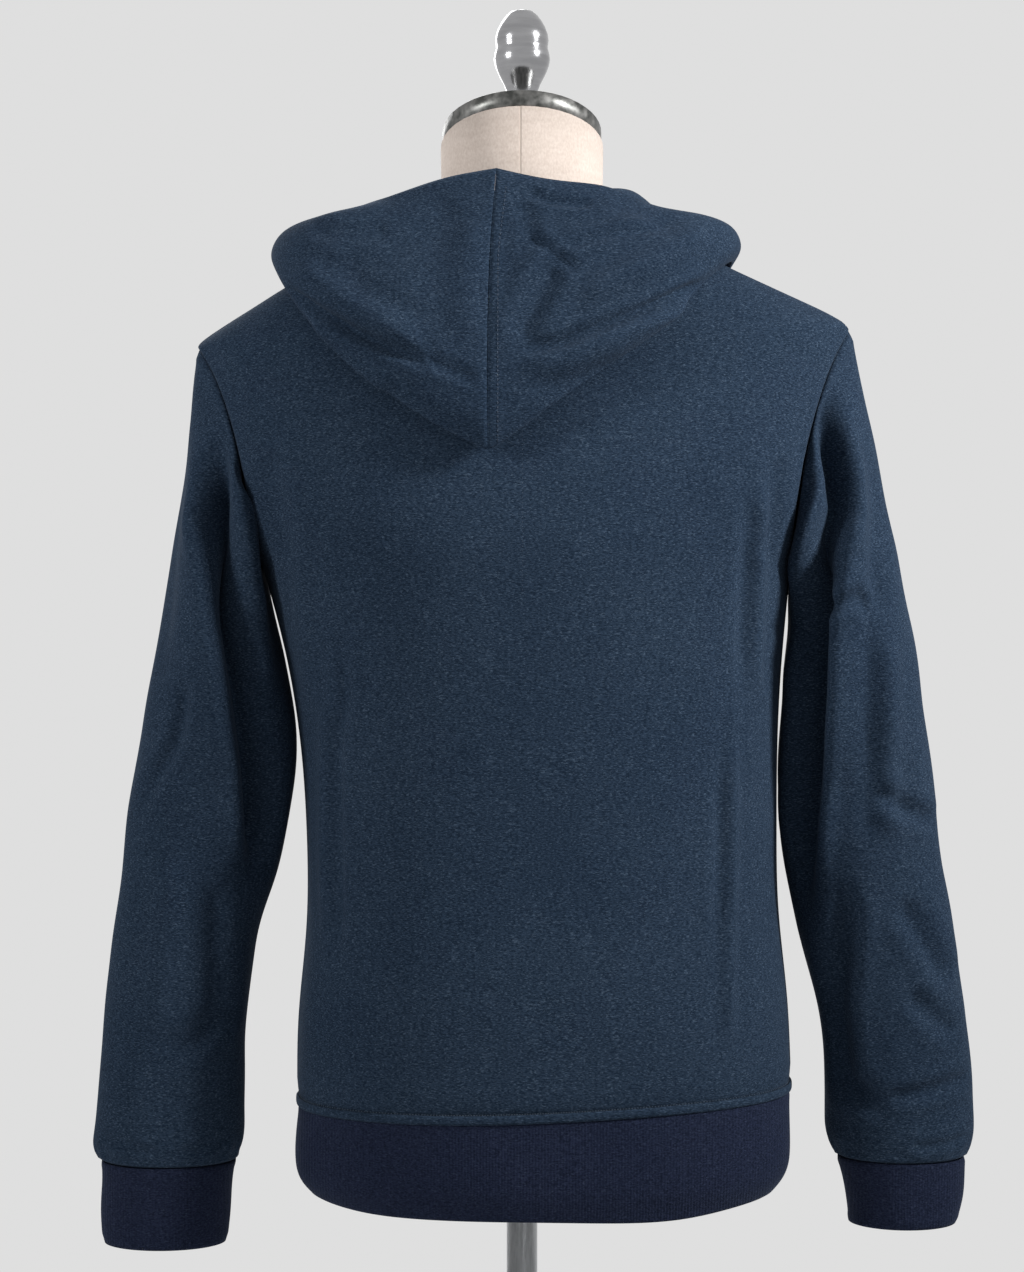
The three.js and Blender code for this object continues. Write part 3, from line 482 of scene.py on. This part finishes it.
for node, name, seed in (("hood_left", "left_hood", 9), ("hood_right", "right_hood", 10)):
    hood = outer_sheet(node, name, FINER)
    points, normals = read_points(hood.data)
    hold = edge_hold(hood.data, 4)
    push = undulate(points, 50, 1.8, seed)
    for route, width, depth in LEFT_HOOD + RIGHT_HOOD:
        push += crease(points, normals, route, width, depth)
    points += normals * (push * hold + seam_dip(hood.data, 0.8))[:, None]
    finish_cloth(hood, points, 2.0, KNIT, node)

# Seams and stitching: a folded strip covers the hem seam all round, and fine thread runs beside
# the hood's centre seam, the front edges and the strip. Each is laid on the cloth under it.


def surface_of(*pieces):
    """The cloth that a stitch or strip is laid on."""
    corners, faces = [], []
    for piece in pieces:
        start = len(corners)
        corners += [v.co.copy() for v in piece.data.vertices]
        faces += [[start + k for k in face.vertices] for face in piece.data.polygons]
    return BVHTree.FromPolygons(corners, faces)


def lay(cloth, origin, aim):
    """Where a line from outside meets the cloth, and the outward direction there."""
    place, normal, _, _ = cloth.ray_cast(origin, aim)
    if place is None:
        return None
    return place, (-normal if normal.dot(aim) > 0 else normal)


BODY_AXIS = -0.0148
HALF_WIDTH = 0.178
FAR_OUT = 0.4
body_cloth = surface_of(back, *[bpy.data.objects[n] for n in ("left_front", "right_front")], band)


def round_body(turn, z):
    """A place on the body's cloth: turn 0 is the middle of the back and grows towards the left."""
    out = Vector((math.sin(turn), math.cos(turn), 0))
    return lay(body_cloth, Vector((BODY_AXIS, 0, z)) + FAR_OUT * out, -out)


HEM_SEAM, HEM_SLOPE, HEM_SAG = 0.261, 0.005, 0.002


def hem_line(turn):
    """Height of the seam between body and hem band, which drops towards the left."""
    x = BODY_AXIS + HALF_WIDTH * math.sin(turn)
    return HEM_SEAM - HEM_SLOPE * (x / HALF_WIDTH) + HEM_SAG * (x / HALF_WIDTH) ** 2


STRIP_WIDTH = 0.0058
STRIP_RISE = 0.0011
STRIP_LIFT = 0.0006
STRIP_END = math.radians(175.6)
bm = bmesh.new()
bmesh.ops.create_grid(bm, x_segments=360, y_segments=6, size=1)
for vert in bm.verts:
    turn, across = vert.co.x * STRIP_END, vert.co.y
    level = hem_line(turn) + STRIP_LIFT
    (above, normal), (below, _) = (round_body(turn, level + step * STRIP_WIDTH) for step in (0.9, -0.9))
    vert.co = below.lerp(above, 0.5 + across / 3.6) + normal * (STRIP_RISE * (1 - across ** 4) + 0.0002)
bmesh.ops.recalc_face_normals(bm, faces=bm.faces)
strip = add_object(bm, "hem_strip")
strip_mesh = strip.data
if strip_mesh.polygons[0].normal.dot(strip_mesh.polygons[0].center) < 0:
    strip_mesh.flip_normals()
shade_smooth(strip_mesh)
strip_mesh.materials.append(KNIT)
fold = strip.modifiers.new("thickness", "SOLIDIFY")
fold.thickness = 0.6 * MM
fold.offset = -1
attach(strip, "stand")


def sew(name, places, length, width, material):
    """A row of stitches: each (place, direction, outward) gets one short thread."""
    bm = bmesh.new()
    for place, along, normal in places:
        across = normal.cross(along).normalized()
        along = across.cross(normal).normalized()
        turn = Matrix((along, across, normal)).transposed().to_4x4()
        size = Matrix.Diagonal((length, width, width, 1))
        bmesh.ops.create_icosphere(bm, subdivisions=1, radius=0.5,
                                   matrix=Matrix.Translation(place + normal * width * 0.35) @ turn @ size)
    row = add_object(bm, name)
    shade_smooth(row.data)
    row.data.materials.append(material)
    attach(row, "stand")
    return row


def thread_material(name, color):
    material = bpy.data.materials.new(name)
    material.use_nodes = True
    tree = material.node_tree
    shader = tree.nodes["Principled BSDF"]
    place = tree.nodes.new("ShaderNodeTexCoord").outputs["Object"]
    shade = [c * 0.7 for c in color]
    twist = ramp(tree, noise_node(tree, place, 900, 1), 0.35, 0.65, (*shade, 1), (*color, 1))
    tree.links.new(twist, shader.inputs["Base Color"])
    shader.inputs["Roughness"].default_value = 0.7
    return material


THREAD = thread_material("thread", (0.04, 0.062, 0.1))
PALE_THREAD = thread_material("cover_thread", (0.075, 0.11, 0.16))


def row_along(spots):
    """Turns a list of (place, outward) into stitches that point from each to the next."""
    found = [spot for spot in spots if spot]
    return [(a[0], (b[0] - a[0]), a[1]) for a, b in zip(found, found[1:])]


COVER_STITCHES = 420
COVER_HEIGHT = 0.0042
cover = row_along([round_body(turn, hem_line(turn) + COVER_HEIGHT)
                   for turn in np.linspace(-STRIP_END, STRIP_END, COVER_STITCHES)])
sew("hem_stitches", cover, 0.0013, 0.0005, PALE_THREAD)

hood_cloth = surface_of(bpy.data.objects["left_hood"], bpy.data.objects["right_hood"])
HOOD_STITCH_GAP = 0.0072


def hood_seam(z):
    """How far to the left the hood's centre seam lies at a height."""
    return 0.024 - 0.006 * float(smooth(0.84, 0.914, z))


inner_row = row_along([lay(hood_cloth, Vector((hood_seam(z) - HOOD_STITCH_GAP, FAR_OUT, z)),
                           Vector((0, -1, 0))) for z in np.arange(0.722, 0.904, 0.0031)])
sew("hood_stitches", inner_row, 0.0024, 0.0006, THREAD)

FRONT_EDGES = (("left_edge_stitches", 0.0), ("right_edge_stitches", -0.025))
for name, x in FRONT_EDGES:
    rows = row_along([lay(body_cloth, Vector((x, -FAR_OUT, z)), Vector((0, 1, 0)))
                      for z in np.arange(0.268, 0.812, 0.0033)])
    sew(name, rows, 0.0025, 0.0006, THREAD)

# Zip: woven tapes behind the front edges, the closed chain with its moulded teeth, the slider and
# its pull tab. The teeth sit in turn on either side of the chain's middle.
TAPE = knit_material("zip_tape", (0.006, 0.009, 0.016), (0.011, 0.015, 0.026), (0.02, 0.03, 0.05), 0.2)


def give(node, material):
    nodes[node].data.materials.clear()
    nodes[node].data.materials.append(material)


def worn_material(name, low, high, rough_low, rough_high, metallic, scale, stretch=(1, 1, 1)):
    """Metal or moulding whose tone and gloss vary a little."""
    material = bpy.data.materials.new(name)
    material.use_nodes = True
    tree = material.node_tree
    shader = tree.nodes["Principled BSDF"]
    place = tree.nodes.new("ShaderNodeTexCoord").outputs["Object"]
    marks = noise_node(tree, place, scale, 5, stretch)
    tree.links.new(ramp(tree, marks, 0.35, 0.65, (*low, 1), (*high, 1)), shader.inputs["Base Color"])
    rough = ramp(tree, marks, 0.3, 0.7, (rough_low,) * 3 + (1,), (rough_high,) * 3 + (1,))
    tree.links.new(rough, shader.inputs["Roughness"])
    shader.inputs["Metallic"].default_value = metallic
    return material


give("zip_tape_left", TAPE)
give("zip_tape_right", TAPE)
TEETH = worn_material("zip_teeth", (0.012, 0.014, 0.02), (0.02, 0.023, 0.03), 0.35, 0.5, 0.0, 300)
give("zip_chain", TEETH)
TOOTH_STEP = 0.0021
TOOTH = (0.0027, 0.0014, 0.0015)
TOOTH_OFFSET = 0.0009
CHAIN_END = 0.0015
chain = BVHTree.FromPolygons([v.co.copy() for v in nodes["zip_chain"].data.vertices],
                             [list(f.vertices) for f in nodes["zip_chain"].data.polygons])
low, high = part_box("zip_chain")
middle = (low[0] + high[0]) / 2
bm = bmesh.new()
for k in range(int((high[2] - low[2] - 2 * CHAIN_END) / TOOTH_STEP)):
    z = low[2] + CHAIN_END + k * TOOTH_STEP
    found = None
    for x in (middle, middle - 0.006, middle + 0.006):
        found = found or lay(chain, Vector((x, -FAR_OUT, z)), Vector((0, 1, 0)))
    if found is None:
        continue
    place, normal = found
    side = 1 if k % 2 else -1
    turn = Vector((0, -1, 0)).rotation_difference(normal).to_matrix().to_4x4()
    step = Matrix.Translation(place + Vector((side * TOOTH_OFFSET, 0, 0))) @ turn
    bmesh.ops.create_cube(bm, size=1, matrix=step @ Matrix.Diagonal((*TOOTH, 1)))
bmesh.ops.bevel(bm, geom=bm.edges[:], offset=0.00025, segments=1, profile=0.5, affect="EDGES", material=-1)
teeth = add_object(bm, "zip_teeth")
teeth.data.materials.append(TEETH)
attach(teeth, "stand")
ZIP_METAL = worn_material("zip_metal", (0.2, 0.2, 0.21), (0.32, 0.32, 0.33), 0.28, 0.42, 1.0, 420)
give("zip_slider", ZIP_METAL)
give("pull_tab", ZIP_METAL)

# Dress form: linen stretched smooth over a hard torso, with a fine seam down the middle of the neck.


def smooth_copy(node, name, angle, material):
    """A hard solid with its round faces shaded smooth and its turned edges kept crisp."""
    bm = bmesh.new()
    bm.from_mesh(nodes[node].data)
    bmesh.ops.remove_doubles(bm, verts=bm.verts, dist=SAME_PLACE)
    piece = add_object(bm, name)
    shade_smooth(piece.data)
    piece.data.set_sharp_from_angle(angle=math.radians(angle))
    piece.data.materials.append(material)
    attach(piece, "stand")
    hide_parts(node)
    return piece


NECK_SEAM = 0.0014
LINEN = bpy.data.materials.new("linen")
LINEN.use_nodes = True
tree = LINEN.node_tree
shader = tree.nodes["Principled BSDF"]
place = tree.nodes.new("ShaderNodeTexCoord").outputs["Object"]
weave = noise_node(tree, place, 800, 2, (1, 1, 0.6))
slubs = noise_node(tree, place, 55, 4, (1, 1, 4))
base = ramp(tree, weave, 0.3, 0.7, (0.54, 0.452, 0.395, 1), (0.63, 0.548, 0.487, 1))
tint = ramp(tree, slubs, 0.3, 0.7, (0.95, 0.94, 0.93, 1), (1.03, 1.03, 1.03, 1))
cloth = mixed(tree, "MULTIPLY", 1.0, base, tint)
split = tree.nodes.new("ShaderNodeSeparateXYZ")
tree.links.new(place, split.inputs["Vector"])
off_seam = tree.nodes.new("ShaderNodeMath")
off_seam.operation = "SUBTRACT"
off_seam.inputs[1].default_value = NECK_SEAM
tree.links.new(split.outputs["X"], off_seam.inputs[0])
distance = tree.nodes.new("ShaderNodeMath")
distance.operation = "ABSOLUTE"
tree.links.new(off_seam.outputs[0], distance.inputs[0])
seam = tree.nodes.new("ShaderNodeMapRange")
seam.inputs["From Min"].default_value = 0.0003
seam.inputs["From Max"].default_value = 0.0009
tree.links.new(distance.outputs[0], seam.inputs["Value"])
seamed = mixed(tree, "MIX", seam.outputs["Result"], (0.5, 0.42, 0.36, 1), cloth)
tree.links.new(seamed, shader.inputs["Base Color"])
groove = tree.nodes.new("ShaderNodeBump")
groove.inputs["Strength"].default_value = 0.6
groove.inputs["Distance"].default_value = 0.0006
tree.links.new(seam.outputs["Result"], groove.inputs["Height"])
threads = tree.nodes.new("ShaderNodeBump")
threads.inputs["Strength"].default_value = 0.15
threads.inputs["Distance"].default_value = 0.0003
tree.links.new(weave, threads.inputs["Height"])
tree.links.new(groove.outputs["Normal"], threads.inputs["Normal"])
tree.links.new(threads.outputs["Normal"], shader.inputs["Normal"])
shader.inputs["Roughness"].default_value = 0.88
smooth_copy("form_torso", "form", 50, LINEN)

# Neck cap: a thick brushed steel disc with a mottled patina, screwed down on the neck.
CAP = worn_material("cap_steel", (0.075, 0.077, 0.073), (0.21, 0.207, 0.2), 0.3, 0.5, 1.0, 150)
smooth_copy("neck_cap", "cap", 40, CAP)

# Finial: turned and polished steel, with a groove between its two swellings.
FINIAL = worn_material("finial_steel", (0.33, 0.33, 0.34), (0.4, 0.4, 0.41), 0.12, 0.2, 1.0, 40, (1, 1, 6))
smooth_copy("finial", "turned_finial", 70, FINIAL)

# Stand: a round steel plate and pole with a brushed finish.
STEEL = worn_material("stand_steel", (0.5, 0.51, 0.52), (0.6, 0.61, 0.62), 0.3, 0.42, 1.0, 120, (6, 6, 1))
smooth_copy("pole", "stand_pole", 35, STEEL)
smooth_copy("base_plate", "stand_plate", 35, STEEL)

# Floor and light: a pale plain room, the floor fading into the background.
BACKGROUND = 0.737


def direct_rays(tree):
    """1 for what is seen straight, in a mirror or through glass, and 0 for the light that falls on things."""
    rays = tree.nodes.new("ShaderNodeLightPath")
    total = rays.outputs["Is Camera Ray"]
    for kind in ("Is Glossy Ray", "Is Transmission Ray"):
        both = tree.nodes.new("ShaderNodeMath")
        both.operation = "MAXIMUM"
        tree.links.new(total, both.inputs[0])
        tree.links.new(rays.outputs[kind], both.inputs[1])
        total = both.outputs[0]
    return total


bm = bmesh.new()
bmesh.ops.create_grid(bm, x_segments=2, y_segments=2, size=6)
floor = add_object(bm, "floor")
paper = bpy.data.materials.new("floor")
paper.use_nodes = True
tree = paper.node_tree
shader = tree.nodes["Principled BSDF"]
shader.inputs["Base Color"].default_value = (0.72, 0.72, 0.72, 1)
shader.inputs["Roughness"].default_value = 0.9
plain = tree.nodes.new("ShaderNodeEmission")
plain.inputs["Color"].default_value = (BACKGROUND, BACKGROUND, BACKGROUND, 1)
place = tree.nodes.new("ShaderNodeTexCoord").outputs["Object"]
reach = tree.nodes.new("ShaderNodeVectorMath")
reach.operation = "LENGTH"
tree.links.new(place, reach.inputs[0])
near = tree.nodes.new("ShaderNodeMapRange")
near.inputs["From Min"].default_value = 0.25
near.inputs["From Max"].default_value = 0.6
tree.links.new(reach.outputs["Value"], near.inputs["Value"])
blend = tree.nodes.new("ShaderNodeMixShader")
tree.links.new(near.outputs["Result"], blend.inputs["Fac"])
tree.links.new(shader.outputs[0], blend.inputs[1])
tree.links.new(plain.outputs[0], blend.inputs[2])
shown = tree.nodes.new("ShaderNodeMixShader")
tree.links.new(direct_rays(tree), shown.inputs["Fac"])
tree.links.new(shader.outputs[0], shown.inputs[1])
tree.links.new(blend.outputs[0], shown.inputs[2])
tree.links.new(shown.outputs[0], tree.nodes["Material Output"].inputs["Surface"])
floor.data.materials.append(paper)

world = bpy.data.worlds.new("world")
bpy.context.scene.world = world
world.use_nodes = True
tree = world.node_tree
sky = tree.nodes["Background"]
sky.inputs["Color"].default_value = (0.8, 0.81, 0.83, 1)
sky.inputs["Strength"].default_value = 0.45
seen = tree.nodes.new("ShaderNodeBackground")
seen.inputs["Color"].default_value = (BACKGROUND, BACKGROUND, BACKGROUND, 1)
swap = tree.nodes.new("ShaderNodeMixShader")
tree.links.new(direct_rays(tree), swap.inputs["Fac"])
tree.links.new(sky.outputs[0], swap.inputs[1])
tree.links.new(seen.outputs[0], swap.inputs[2])
tree.links.new(swap.outputs[0], tree.nodes["World Output"].inputs["Surface"])


def lamp(name, place, aim, size, power, spread=180):
    """A square lamp pointed at a place, its light kept to a cone where spread says so."""
    light = bpy.data.lights.new(name, "AREA")
    light.size = size
    light.energy = power
    light.spread = math.radians(spread)
    item = bpy.data.objects.new(name, light)
    bpy.context.scene.collection.objects.link(item)
    item.location = place
    item.rotation_euler = (Vector(aim) - Vector(place)).to_track_quat("-Z", "Y").to_euler()


lamp("key", (-2.02, 0.9, 1.7), (-0.08, 0.1, 0.7), 0.45, 6.2, spread=46)
lamp("fill", (2.15, 1.3, 1.4), (0, 0, 0.72), 0.6, 2.6, spread=46)
lamp("front", (0.6, -2.2, 1.8), (0, 0, 0.6), 1.6, 30)
